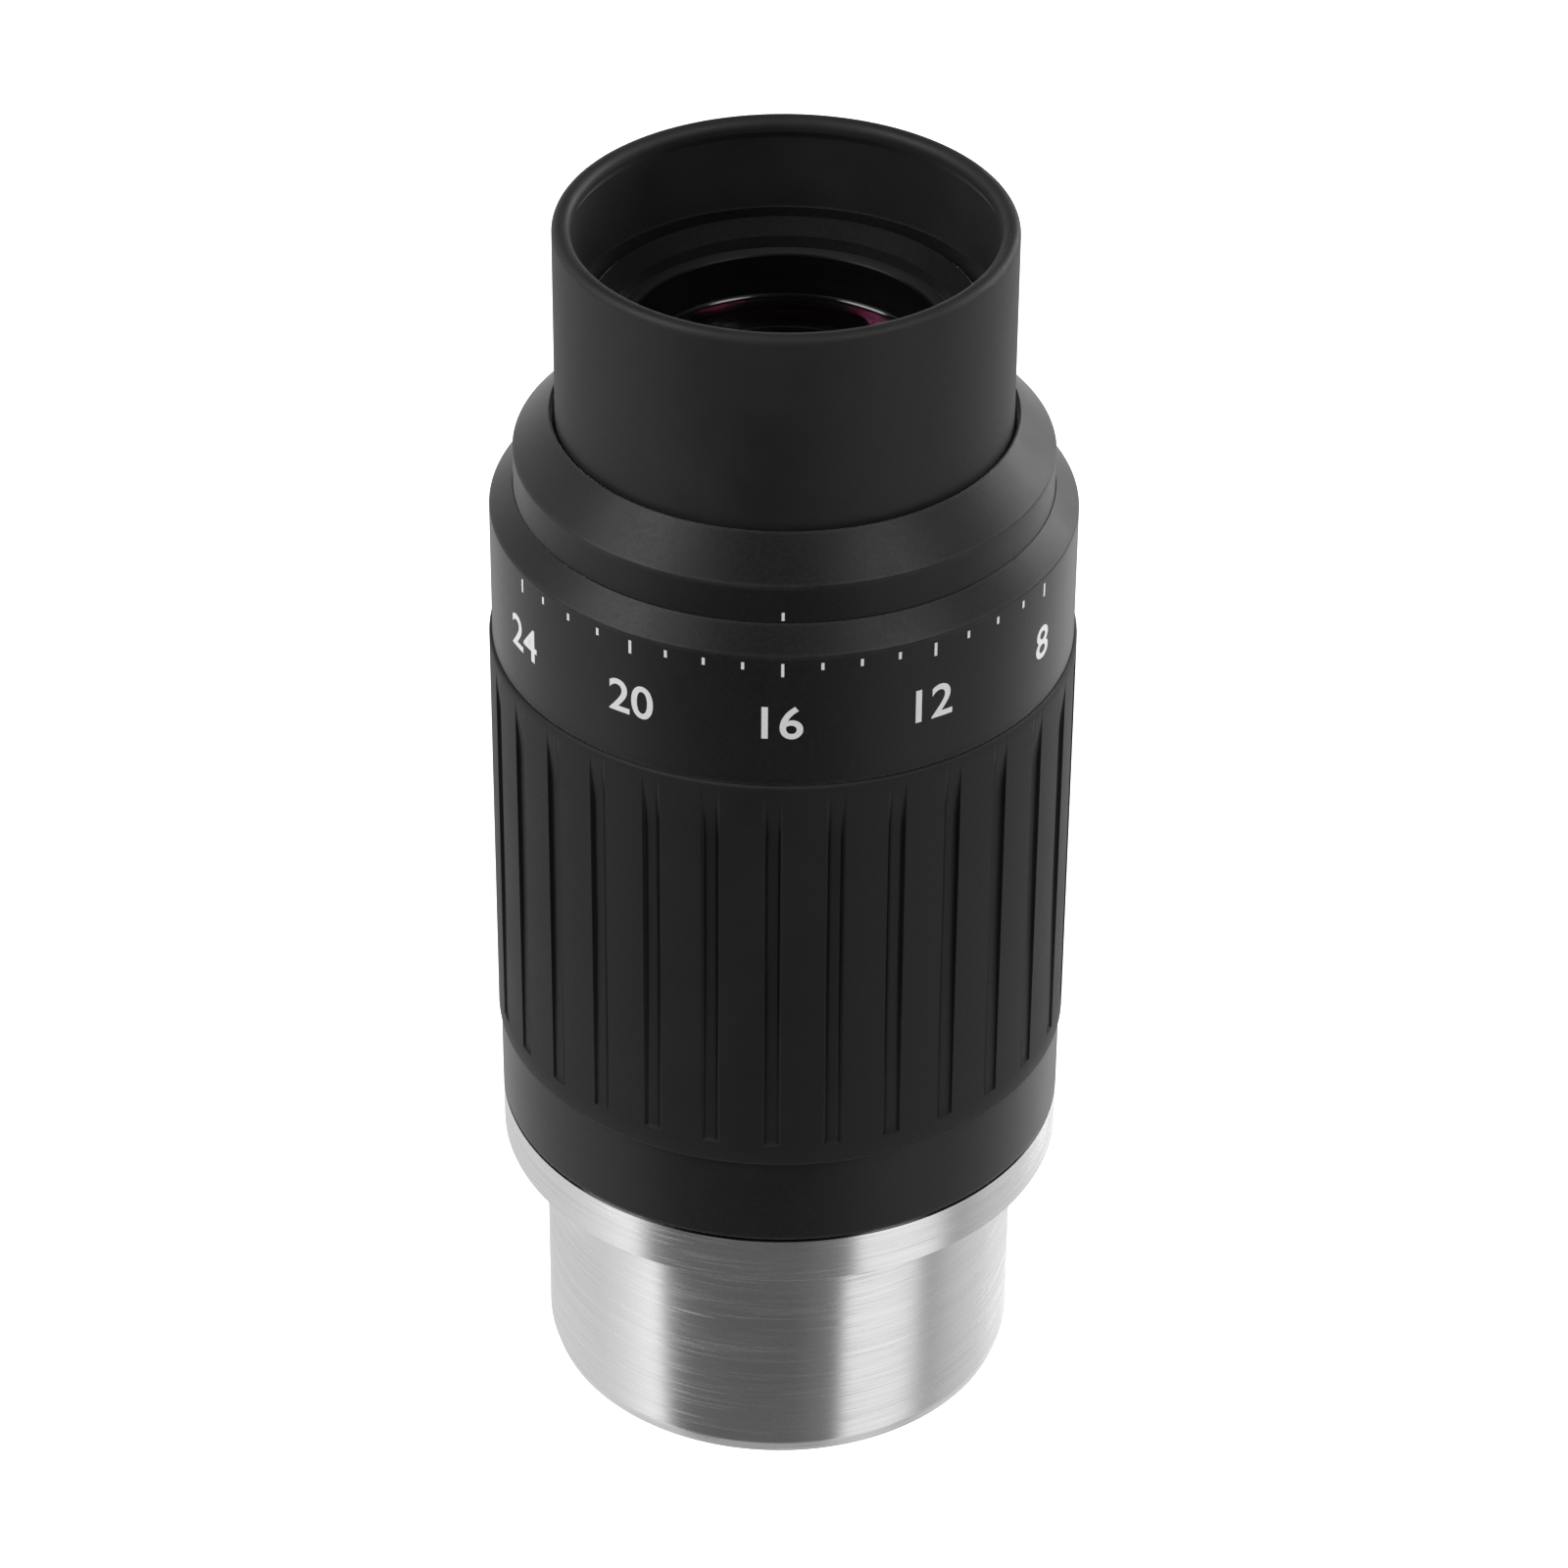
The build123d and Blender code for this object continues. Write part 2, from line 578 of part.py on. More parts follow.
# ---- Eyecup -----------------------------------------------------------------------------------
def eyecup_sleeve():
    """Metal core of the eyecup. Its helical slots climb on the pins of the head tube."""
    body = turned(
        (SLEEVE_BORE_RADIUS, SLEEVE_BOTTOM),
        (SLEEVE_RADIUS, SLEEVE_BOTTOM),
        (SLEEVE_RADIUS, SLEEVE_TOP),
        (SLEEVE_BORE_RADIUS, SLEEVE_TOP),
        (SLEEVE_BORE_RADIUS, GLIDE_GROOVE_TOP),
        (GLIDE_GROOVE_RADIUS, GLIDE_GROOVE_TOP),
        (GLIDE_GROOVE_RADIUS, GLIDE_GROOVE_BOTTOM),
        (SLEEVE_BORE_RADIUS, GLIDE_GROOVE_BOTTOM),
    )
    full_turn = radians(EYECUP_TURN)
    for angle in GUIDE_ANGLES:
        body -= helical_slot(
            angle,
            CUP_PIN_HEIGHT,
            EYECUP_TRAVEL / full_turn,
            0,
            full_turn,
            PIN_RADIUS + ROLLING,
            SLEEVE_BORE_RADIUS,
            SLEEVE_RADIUS,
        )
    return body


def eyecup_rubber():
    """Rubber cover of the eyecup, with a rolled rim and a small bead inside the mouth."""
    seat = SLEEVE_RADIUS + THREAD
    crown_radius = CUP_BEAD_RADIUS + RIM_INNER_ROUND
    outer_round = CUP_RADIUS - crown_radius
    outer_round_height = CUP_TOP - outer_round
    inner_round_height = CUP_TOP - RIM_INNER_ROUND
    diagonal = sqrt(0.5)
    return turned_curves(
        Polyline(
            (CUP_INNER_RADIUS, CUP_BEAD_FOOT),
            (CUP_INNER_RADIUS, SLEEVE_TOP),
            (seat, SLEEVE_TOP),
            (seat, CUP_BOTTOM),
            (CUP_RADIUS - BREAK, CUP_BOTTOM),
            (CUP_RADIUS, CUP_BOTTOM + BREAK),
            (CUP_RADIUS, outer_round_height),
        ),
        ThreePointArc(
            (CUP_RADIUS, outer_round_height),
            (crown_radius + outer_round * diagonal, outer_round_height + outer_round * diagonal),
            (crown_radius, CUP_TOP),
        ),
        ThreePointArc(
            (crown_radius, CUP_TOP),
            (crown_radius - RIM_INNER_ROUND * diagonal, inner_round_height + RIM_INNER_ROUND * diagonal),
            (CUP_BEAD_RADIUS, inner_round_height),
        ),
        Polyline(
            (CUP_BEAD_RADIUS, inner_round_height),
            (CUP_BEAD_RADIUS, CUP_BEAD_BOTTOM),
            (CUP_INNER_RADIUS, CUP_BEAD_FOOT),
        ),
    )


def eyecup_glide_ring():
    """Slippery split ring in the sleeve's groove. It grips the head tube and rises without turning."""
    gap = 1.5
    ring = tube(
        HEAD_RADIUS + RUNNING,
        GLIDE_GROOVE_RADIUS - RUNNING,
        GLIDE_GROOVE_BOTTOM + GLIDE_PLAY,
        GLIDE_GROOVE_TOP - GLIDE_PLAY,
    )
    return ring - Pos(0, GLIDE_GROOVE_RADIUS, GLIDE_GROOVE_BOTTOM) * Box(gap, 2, 4)


def eyecup_guide_pins():
    """Three pins pressed into the head tube for the eyecup's slots."""
    return on_angles(
        lambda angle: radial_rod(PIN_RADIUS, CUP_PIN_INNER_END, CUP_PIN_OUTER_END, angle, CUP_PIN_HEIGHT),
        GUIDE_ANGLES,
    )


# ---- Pins and rollers of the two moving lens groups -------------------------------------------
def guide_pins(height):
    """Headed pins screwed into a lens carriage."""
    return on_angles(
        lambda angle: radial_rod(PIN_RADIUS, PIN_INNER_END, PIN_HEAD_SEAT, angle, height)
        + radial_rod(PIN_HEAD_RADIUS, PIN_HEAD_SEAT, PIN_OUTER_END, angle, height),
        GUIDE_ANGLES,
    )


def pin_rollers(height):
    """Brass rollers that run in the straight and the helical slots."""
    return on_angles(
        lambda angle: radial_rod(ROLLER_RADIUS, ROLLER_INNER_END, ROLLER_OUTER_END, angle, height)
        - radial_rod(ROLLER_BORE_RADIUS, ROLLER_INNER_END - 1, ROLLER_OUTER_END + 1, angle, height),
        GUIDE_ANGLES,
    )


def pin_holes(height):
    """Cutters for the threaded holes of the guide pins."""
    return [
        radial_rod(PIN_RADIUS + THREAD, PIN_INNER_END - THREAD, CARRIAGE_RADIUS + 1, angle, height)
        for angle in GUIDE_ANGLES
    ]


# ---- Middle lens group ------------------------------------------------------------------------
def middle_carriage():
    """Carriage of the middle doublet, sliding on two lands."""
    body = turned(
        (MIDDLE_LIP_RADIUS, MIDDLE_BOTTOM),
        (CARRIAGE_RADIUS, MIDDLE_BOTTOM),
        (CARRIAGE_RADIUS, MIDDLE_BOTTOM + MIDDLE_LAND),
        (MIDDLE_RELIEF_RADIUS, MIDDLE_BOTTOM + MIDDLE_LAND),
        (MIDDLE_RELIEF_RADIUS, MIDDLE_TOP - MIDDLE_LAND),
        (CARRIAGE_RADIUS, MIDDLE_TOP - MIDDLE_LAND),
        (CARRIAGE_RADIUS, MIDDLE_TOP),
        (MIDDLE_BORE_RADIUS, MIDDLE_TOP),
        (MIDDLE_BORE_RADIUS, MIDDLE_LIP_TOP),
        (MIDDLE_LIP_RADIUS, MIDDLE_LIP_TOP),
    )
    return body - pin_holes(MIDDLE_PIN_HEIGHT)


def middle_flint_lens():
    """Lower, hollow lens of the middle doublet."""
    radius = MIDDLE_BORE_RADIUS - THREAD
    return lens(radius, MIDDLE_LIP_TOP, MIDDLE_CEMENT_HEIGHT - CEMENT, 1.0, -1.6, MIDDLE_LIP_RADIUS)


def middle_crown_lens():
    """Upper, domed lens of the middle doublet."""
    radius = MIDDLE_BORE_RADIUS - THREAD
    return lens(radius, MIDDLE_CEMENT_HEIGHT, MIDDLE_LENS_TOP, -1.6, 2.0, None, MIDDLE_LIP_RADIUS)


def middle_lens_retaining_ring():
    """Threaded ring that holds the middle doublet down."""
    outer = MIDDLE_BORE_RADIUS - THREAD
    return retaining_ring(MIDDLE_LIP_RADIUS, outer, MIDDLE_LENS_TOP, MIDDLE_RING_TOP, 1)


# ---- Field lens group -------------------------------------------------------------------------
def field_carriage():
    """Carriage of the field lenses, which reaches down into the nosepiece."""
    body = turned(
        (FIELD_MOUTH_RADIUS, FIELD_BOTTOM),
        (FIELD_NECK_RADIUS, FIELD_BOTTOM),
        (FIELD_NECK_RADIUS, FIELD_LAND_BOTTOM),
        (CARRIAGE_RADIUS, FIELD_LAND_BOTTOM),
        (CARRIAGE_RADIUS, FIELD_TOP),
        (FIELD_STOP_SEAT_RADIUS, FIELD_TOP),
        (FIELD_STOP_SEAT_RADIUS, FIELD_STOP_SEAT),
        (FIELD_BORE_RADIUS, FIELD_STOP_SEAT),
        (FIELD_BORE_RADIUS, FIELD_LIP_TOP),
        (FIELD_LIP_RADIUS, FIELD_LIP_TOP),
        (FIELD_LIP_RADIUS, FIELD_LIP_BOTTOM),
        (FIELD_BORE_RADIUS, FIELD_LIP_BOTTOM),
        (FIELD_BORE_RADIUS, FIELD_RING_BOTTOM),
    )
    return body - pin_holes(FIELD_PIN_HEIGHT)


def field_lens_positive():
    """Upper lens of the field doublet."""
    radius = FIELD_BORE_RADIUS - THREAD
    return lens(radius, FIELD_CEMENT_HEIGHT, FIELD_LIP_BOTTOM, -1.5, 0.8, None, FIELD_LIP_RADIUS)


def field_lens_negative():
    """Lower lens of the field doublet, hollow on both faces and seen from below."""
    radius = FIELD_BORE_RADIUS - THREAD
    return lens(radius, FIELD_LENS_BOTTOM, FIELD_CEMENT_HEIGHT - CEMENT, 2.0, -1.5, FIELD_LIP_RADIUS)


def field_lens_retaining_ring():
    """Threaded ring that holds the field lenses up from below."""
    outer = FIELD_BORE_RADIUS - THREAD
    return retaining_ring(FIELD_LIP_RADIUS, outer, FIELD_RING_BOTTOM, FIELD_LENS_BOTTOM, -1)


def field_stop():
    """Thin blackened ring that frames the view."""
    top = FIELD_STOP_SEAT + FIELD_STOP_THICKNESS
    return turned(
        (FIELD_STOP_APERTURE + FIELD_STOP_THICKNESS, FIELD_STOP_SEAT),
        (FIELD_STOP_SEAT_RADIUS - THREAD, FIELD_STOP_SEAT),
        (FIELD_STOP_SEAT_RADIUS - THREAD, top),
        (FIELD_STOP_APERTURE, top),
    )


# ---- The whole eyepiece -----------------------------------------------------------------------
PARTS = {
    "nosepiece_barrel": nosepiece_barrel(),
    "base_flange": base_flange(),
    "guide_tube": guide_tube(),
    "guide_tube_screws": set_screws(GUIDE_BORE_RADIUS + 0.4, RING_BORE_RADIUS - 0.3, GUIDE_SCREW_HEIGHT),
    "lower_glide_washer": lower_glide_washer(),
    "upper_glide_washer": upper_glide_washer(),
    "zoom_ring": zoom_ring(),
    "grip_rubber": grip_rubber(),
    "cam_sleeve": cam_sleeve(),
    "drive_screws": drive_screws(),
    "head_tube": head_tube(),
    "head_set_screws": set_screws(GUIDE_BORE_RADIUS + 0.4, HEAD_FLANGE_RADIUS - 0.3, HEAD_SCREW_HEIGHT),
    "shoulder_cap": shoulder_cap(),
    "cap_set_screws": set_screws(HEAD_BOSS_BORE_RADIUS + 0.3, SHOULDER_RADIUS - 0.3, CAP_SCREW_HEIGHT),
    "eye_lens_cell": eye_lens_cell(),
    "eye_lens_retaining_ring": eye_lens_retaining_ring(),
    "eye_lens_front": eye_lens_front(),
    "eye_lens_spacer": eye_lens_spacer(),
    "eye_doublet_crown": eye_doublet_crown(),
    "eye_doublet_flint": eye_doublet_flint(),
    "eyecup_sleeve": eyecup_sleeve(),
    "eyecup_rubber": eyecup_rubber(),
    "eyecup_glide_ring": eyecup_glide_ring(),
    "eyecup_guide_pins": eyecup_guide_pins(),
    "middle_carriage": middle_carriage(),
    "middle_guide_pins": guide_pins(MIDDLE_PIN_HEIGHT),
    "middle_pin_rollers": pin_rollers(MIDDLE_PIN_HEIGHT),
    "middle_flint_lens": middle_flint_lens(),
    "middle_crown_lens": middle_crown_lens(),
    "middle_lens_retaining_ring": middle_lens_retaining_ring(),
    "field_carriage": field_carriage(),
    "field_guide_pins": guide_pins(FIELD_PIN_HEIGHT),
    "field_pin_rollers": pin_rollers(FIELD_PIN_HEIGHT),
    "field_lens_positive": field_lens_positive(),
    "field_lens_negative": field_lens_negative(),
    "field_lens_retaining_ring": field_lens_retaining_ring(),
    "field_stop": field_stop(),
}

os.makedirs("parts", exist_ok=True)
for name, shape in PARTS.items():
    export_step(shape, f"parts/{name}.step")
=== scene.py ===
from math import ceil, cos, pi, radians, sin, sqrt

import bmesh
import bpy
from mathutils import Matrix, Vector


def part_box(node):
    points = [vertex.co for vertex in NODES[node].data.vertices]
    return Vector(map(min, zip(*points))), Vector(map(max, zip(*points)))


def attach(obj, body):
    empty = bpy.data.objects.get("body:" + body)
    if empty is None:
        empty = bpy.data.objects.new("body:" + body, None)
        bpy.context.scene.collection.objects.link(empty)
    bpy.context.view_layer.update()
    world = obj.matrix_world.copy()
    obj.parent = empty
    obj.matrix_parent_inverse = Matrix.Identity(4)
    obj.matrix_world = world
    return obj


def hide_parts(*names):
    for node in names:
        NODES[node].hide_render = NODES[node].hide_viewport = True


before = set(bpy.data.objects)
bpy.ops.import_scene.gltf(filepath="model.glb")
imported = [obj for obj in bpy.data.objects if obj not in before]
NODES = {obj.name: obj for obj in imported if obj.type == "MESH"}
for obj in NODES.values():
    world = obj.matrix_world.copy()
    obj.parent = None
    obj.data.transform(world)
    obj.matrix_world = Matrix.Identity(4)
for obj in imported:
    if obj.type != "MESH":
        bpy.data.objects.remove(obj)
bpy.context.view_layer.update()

MM = 0.001


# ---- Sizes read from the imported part, in millimetres ---------------------------------------------
def reach(node):
    """Outer radius, lowest height and highest height of a turned CAD node."""
    low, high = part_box(node)
    return high.x / MM, low.z / MM, high.z / MM


BARREL_RADIUS, BARREL_BOTTOM, BARREL_TOP = reach("nosepiece_barrel")
RING_RADIUS, RING_BOTTOM, RING_TOP = reach("zoom_ring")
GRIP_RADIUS, GRIP_BOTTOM, GRIP_TOP = reach("grip_rubber")
CAP_RADIUS, CAP_BOTTOM, CAP_TOP = reach("shoulder_cap")

# ---- Details that the CAD part leaves out or keeps plain -----------------------------------------
SEGMENTS = 288                  # around each turned piece
SHARP_ANGLE = 32.0              # degrees, an edge sharper than this is shaded as an edge
EDGE_ROUND = 0.16               # broken edge of the anodised bands
WEAR_WIDTH = 0.3                # how far wear reaches from an edge

THREAD_PITCH = 0.75
THREAD_CREST_RADIUS = 23.6
THREAD_ROOT_RADIUS = 24.0
THREAD_BOTTOM = 0.6
THREAD_TOP = 6.0

UPPER_BAND_RADIUS = 29.88
UPPER_BAND_TOP = 105.8
CHANNEL_COUNT = 30
CHANNEL_ANGLE = -91.6           # degrees, the channel nearest the front
CHANNEL_HALF_WIDTH = 0.9
CHANNEL_WALL = 0.05             # half the width over which a channel's wall falls
CHANNEL_BOTTOM = 46.0
CHANNEL_TOP = 90.2
GRIP_SEAT_RADIUS = 28.42        # the grip's bore, just clear of the recess it sits in

EYE_LENS_EDGE_TOP = 120.13
EYE_LENS_FACES_SPLIT = 120.0    # height between the eye lens's upper and lower face
LIP_HEIGHT = 120.3              # middle of the polished line on the lip over the eye lens
LIP_HALF_WIDTH = 0.08

SCALE_VALUES = ("24", "20", "16", "12", "8")
SCALE_STEP = 30.0               # degrees between two numerals
SCALE_BASELINE = 96.3
NUMERAL_HEIGHT = 3.8
PRINT_THICKNESS = 0.03
PRINT_GAP = 0.002               # between the band and the underside of the print
MARK_WIDTH = 0.3
FRONT = -90.0                   # degrees, towards the camera


# ---- Meshes --------------------------------------------------------------------------------------
def new_object(name, vertices, faces, sharp_angle=SHARP_ANGLE, wear=()):
    """A mesh object from points in millimetres, smooth except at edges sharper than an angle.

    wear holds how worn each point is, from 0 to 1, for the anodised material to read.
    """
    mesh = bpy.data.meshes.new(name)
    mesh.from_pydata([Vector(point) * MM for point in vertices], [], faces)
    mesh.validate()
    shaded = bmesh.new()
    shaded.from_mesh(mesh)
    worn = shaded.verts.layers.float.new("wear")
    for vertex, amount in zip(shaded.verts, wear):
        vertex[worn] = amount
    bmesh.ops.remove_doubles(shaded, verts=shaded.verts, dist=1e-9)
    bmesh.ops.recalc_face_normals(shaded, faces=shaded.faces)
    shaded.to_mesh(mesh)
    shaded.free()
    mesh.polygons.foreach_set("use_smooth", [True] * len(mesh.polygons))
    mesh.set_sharp_from_angle(angle=radians(sharp_angle))
    piece = bpy.data.objects.new(name, mesh)
    bpy.context.scene.collection.objects.link(piece)
    return piece


def rounded(corners, steps=5):
    """An outline of (radius, height) points from corners given as (radius, height, cut).

    A corner with a cut is replaced by a small arc that starts and ends that far from it.
    """
    outline = []
    for place, (radius, height, cut) in enumerate(corners):
        corner = Vector((radius, height))
        if cut == 0:
            outline.append(corner)
            continue
        before = Vector(corners[place - 1][:2])
        after = Vector(corners[(place + 1) % len(corners)][:2])
        start = corner + (before - corner).normalized() * cut
        end = corner + (after - corner).normalized() * cut
        for step in range(steps + 1):
            share = step / steps
            outline.append(start.lerp(corner, share).lerp(corner.lerp(end, share), share))
    return outline


def grid_faces(rows, columns):
    """Quads of a grid that closes on itself both along its rows and round its columns."""
    faces = []
    for row in range(rows):
        below = row * columns
        above = (row + 1) % rows * columns
        for column in range(columns):
            beside = (column + 1) % columns
            faces.append((below + column, below + beside, above + beside, above + column))
    return faces


def circle(radius, height, sides=SEGMENTS):
    """Points spaced evenly round a level circle."""
    angles = [2 * pi * side / sides for side in range(sides)]
    return [(radius * cos(angle), radius * sin(angle), height) for angle in angles]


def turned_outline(name, outline, sharp_angle=SHARP_ANGLE, outline_wear=()):
    """A closed piece turned about Z from (radius, height) points."""
    vertices = [point for radius, height in outline for point in circle(radius, height)]
    wear = [amount for amount in outline_wear for segment in range(SEGMENTS)]
    return new_object(name, vertices, grid_faces(len(outline), SEGMENTS), sharp_angle, wear)


def turned_piece(name, corners):
    """A closed piece turned about Z from rounded corners, worn at its corners only."""
    outline, wear = [], []
    corner_points = rounded(corners)
    for place, point in enumerate(corner_points):
        after = corner_points[(place + 1) % len(corner_points)]
        outline.append(point)
        wear.append(1.0)
        if (after - point).length > 3 * WEAR_WIDTH:
            inward = (after - point).normalized() * WEAR_WIDTH
            outline += [point + inward, after - inward]
            wear += [0.0, 0.0]
    return turned_outline(name, outline, outline_wear=wear)


def smooth_step(value):
    """0 below 0, 1 above 1 and a soft curve between them."""
    value = min(max(value, 0.0), 1.0)
    return value * value * (3 - 2 * value)


# ---- Nosepiece barrel with its real filter thread ------------------------------------------------
def thread_radius(height, turn):
    """Radius of the filter thread's flank. turn is the share of a full turn about the axis."""
    lead_in_length = 0.4
    lead_out_length = 0.5
    flat = 0.14                 # share of the pitch that is flat at the crest, and at the root
    lead_in = smooth_step((height - THREAD_BOTTOM) / lead_in_length)
    lead_out = smooth_step((THREAD_TOP - height) / lead_out_length)
    phase = (height / THREAD_PITCH - turn) % 1.0
    tooth = abs(2 * phase - 1)
    flank = min(max((tooth - flat) / (1 - 2 * flat), 0.0), 1.0)
    depth = (THREAD_ROOT_RADIUS - THREAD_CREST_RADIUS) * flank
    return THREAD_CREST_RADIUS + depth * lead_in * lead_out


def barrel():
    """The barrel from its mouth to the spigot in the flange, with the thread cut inside the mouth."""
    rows_per_pitch = 10
    thread_rows = ceil((THREAD_TOP - THREAD_BOTTOM) / THREAD_PITCH * rows_per_pitch)
    mouth_radius = 24.2
    foot_radius = 24.92
    chamfer_top = 1.44
    relief_bottom = 27.4
    relief_radius = 25.0
    seat_height = 28.2
    spigot_radius = 24.6
    bore_radius = 23.2
    outside = rounded([
        (mouth_radius, BARREL_BOTTOM, 0.08),
        (foot_radius, BARREL_BOTTOM, 0.1),
        (BARREL_RADIUS, chamfer_top, 0.2),
        (BARREL_RADIUS, relief_bottom, 0.1),
        (relief_radius, relief_bottom, 0),
        (relief_radius, seat_height, 0),
        (spigot_radius, seat_height, 0),
        (spigot_radius, BARREL_TOP, 0.1),
        (bore_radius, BARREL_TOP, 0.1),
        (bore_radius, THREAD_TOP + 0.2, 0.05),
        (THREAD_CREST_RADIUS, THREAD_TOP + 0.02, 0),
    ])
    vertices = [point for radius, height in outside for point in circle(radius, height)]
    for row in range(thread_rows + 1):
        height = THREAD_TOP - (THREAD_TOP - THREAD_BOTTOM) * row / thread_rows
        for segment in range(SEGMENTS):
            angle = 2 * pi * segment / SEGMENTS
            radius = thread_radius(height, segment / SEGMENTS)
            vertices.append((radius * cos(angle), radius * sin(angle), height))
    rows = len(outside) + thread_rows + 1
    return new_object("barrel", vertices, grid_faces(rows, SEGMENTS), sharp_angle=50.0)


# ---- Zoom ring and shoulder cap ------------------------------------------------------------------
def ring_housing():
    """The zoom ring: two bands with the recess for the grip between them."""
    bore_radius = 25.0
    seat_radius = 28.4
    low_band_top = 43.3
    upper_band_bottom = 90.8
    shoulder = 91.0
    mouth_radius = 27.45
    lip = 0.06
    return turned_piece("ring_housing", [
        (bore_radius, RING_BOTTOM, 0),
        (RING_RADIUS, RING_BOTTOM, 0.14),
        (RING_RADIUS, low_band_top, 0.07),
        (seat_radius, low_band_top, 0),
        (seat_radius, upper_band_bottom, 0),
        (UPPER_BAND_RADIUS, upper_band_bottom, 0.12),
        (UPPER_BAND_RADIUS, UPPER_BAND_TOP, EDGE_ROUND),
        (mouth_radius + lip / 2, RING_TOP, lip),
        (mouth_radius, RING_TOP - lip, lip / 2),
        (mouth_radius, shoulder, 0),
        (bore_radius, shoulder, 0),
    ])


def shoulder_piece():
    """The shoulder cap: a narrow band and the cone that closes in on the eyecup."""
    hole_radius = 24.62
    hole_top = 101.2
    cone_top_radius = 23.45
    cone_foot = 112.3
    return turned_piece("shoulder", [
        (hole_radius, CAP_BOTTOM, 0),
        (CAP_RADIUS, CAP_BOTTOM, 0.1),
        (CAP_RADIUS, cone_foot, EDGE_ROUND),
        (cone_top_radius + 0.2, CAP_TOP, 0.1),
        (cone_top_radius, CAP_TOP - 0.2, 0.05),
        (cone_top_radius, hole_top, 0),
        (hole_radius, hole_top, 0),
    ])


# ---- Eye lens ------------------------------------------------------------------------------------
def sag(sphere, radius):
    """How far a sphere's surface has fallen at a distance from its pole."""
    return sphere - sqrt(sphere**2 - radius**2)


def eye_lens():
    """The lens next to the eye, with faces smooth enough to mirror the softboxes cleanly."""
    lens_radius, back_pole, front_pole = reach("eye_lens_front")
    clear_radius = 15.45
    back_bulge = 2.0
    bevel = 0.1
    rings = 48
    front_bulge = front_pole - EYE_LENS_EDGE_TOP
    front_sphere = (clear_radius**2 + front_bulge**2) / (2 * front_bulge)
    back_sphere = (clear_radius**2 + back_bulge**2) / (2 * back_bulge)
    outline = []
    for ring in range(rings + 1):
        radius = clear_radius * ring / rings
        outline.append((radius, front_pole - sag(front_sphere, radius)))
    outline.append((lens_radius - bevel, EYE_LENS_EDGE_TOP))
    outline.append((lens_radius, EYE_LENS_EDGE_TOP - bevel))
    for ring in range(rings, -1, -1):
        radius = lens_radius * ring / rings
        outline.append((radius, back_pole + sag(back_sphere, radius)))
    return turned_outline("eye_lens", outline, sharp_angle=6.0)


# ---- Rubber grip ---------------------------------------------------------------------------------
def channel_depth(height):
    """Depth of a channel's floor: shallow at its square lower end and running out at its top."""
    foot_depth = 0.22
    added_depth = 0.2
    deepening_length = 25
    run_out_length = 7
    deepening = smooth_step((height - CHANNEL_BOTTOM) / deepening_length)
    run_out = smooth_step((CHANNEL_TOP - height) / run_out_length)
    return (foot_depth + added_depth * deepening) * run_out


def channel_sink(height, offset):
    """How far the grip's surface lies below its lands, offset millimetres from a channel's middle.

    A finer crease runs along the foot of each wall.
    """
    wall = CHANNEL_WALL
    crease_place = CHANNEL_HALF_WIDTH - 0.2
    crease_half_width = 0.14
    crease_depth = 0.3
    depth = channel_depth(height) * smooth_step((height - CHANNEL_BOTTOM + wall) / (2 * wall))
    away = abs(offset)
    inside = smooth_step((CHANNEL_HALF_WIDTH + wall - away) / (2 * wall))
    crease = max(1 - abs(away - crease_place) / crease_half_width, 0.0)
    return depth * (inside + crease_depth * smooth_step(crease))


def grip():
    """The grip with the crisp walls and creased corners of its moulded channels."""
    pitch = 2 * pi / CHANNEL_COUNT
    wall = CHANNEL_WALL
    half = CHANNEL_HALF_WIDTH
    land = pitch * GRIP_RADIUS / 2
    one_side = [0.3, half - 0.34, half - 0.27, half - 0.2, half - 0.13, half - wall, half - wall / 3]
    one_side += [half + wall / 3, half + wall, half + 0.12, half + 1.0]
    across = [-offset for offset in reversed(one_side)] + [0.0] + one_side + [land]

    rows_up = 48
    edge = [(0.0, 0.55), (0.05, 0.3), (0.12, 0.13), (0.22, 0.04), (0.35, 0.0)]  # (rise, inset)
    profile = [(GRIP_BOTTOM + rise, inset) for rise, inset in edge]
    profile += [(CHANNEL_BOTTOM + step, 0.0) for step in (-0.3, -wall, -wall / 3, wall / 3, wall)]
    start = CHANNEL_BOTTOM + wall
    last = GRIP_TOP - edge[-1][0]
    profile += [(start + (last - start) * row / rows_up, 0.0) for row in range(1, rows_up + 1)]
    profile += [(GRIP_TOP - rise, inset) for rise, inset in reversed(edge[:-1])]

    spots = []
    for channel in range(CHANNEL_COUNT):
        for offset in across:
            spots.append((radians(CHANNEL_ANGLE) + channel * pitch + offset / GRIP_RADIUS, offset))

    vertices = []
    for height, inset in profile:
        for angle, offset in spots:
            radius = GRIP_RADIUS - inset - channel_sink(height, offset)
            vertices.append((radius * cos(angle), radius * sin(angle), height))
    for height in (GRIP_TOP, GRIP_BOTTOM):
        for angle, _ in spots:
            vertices.append((GRIP_SEAT_RADIUS * cos(angle), GRIP_SEAT_RADIUS * sin(angle), height))
    return new_object("grip", vertices, grid_faces(len(profile) + 2, len(spots)), sharp_angle=60.0)


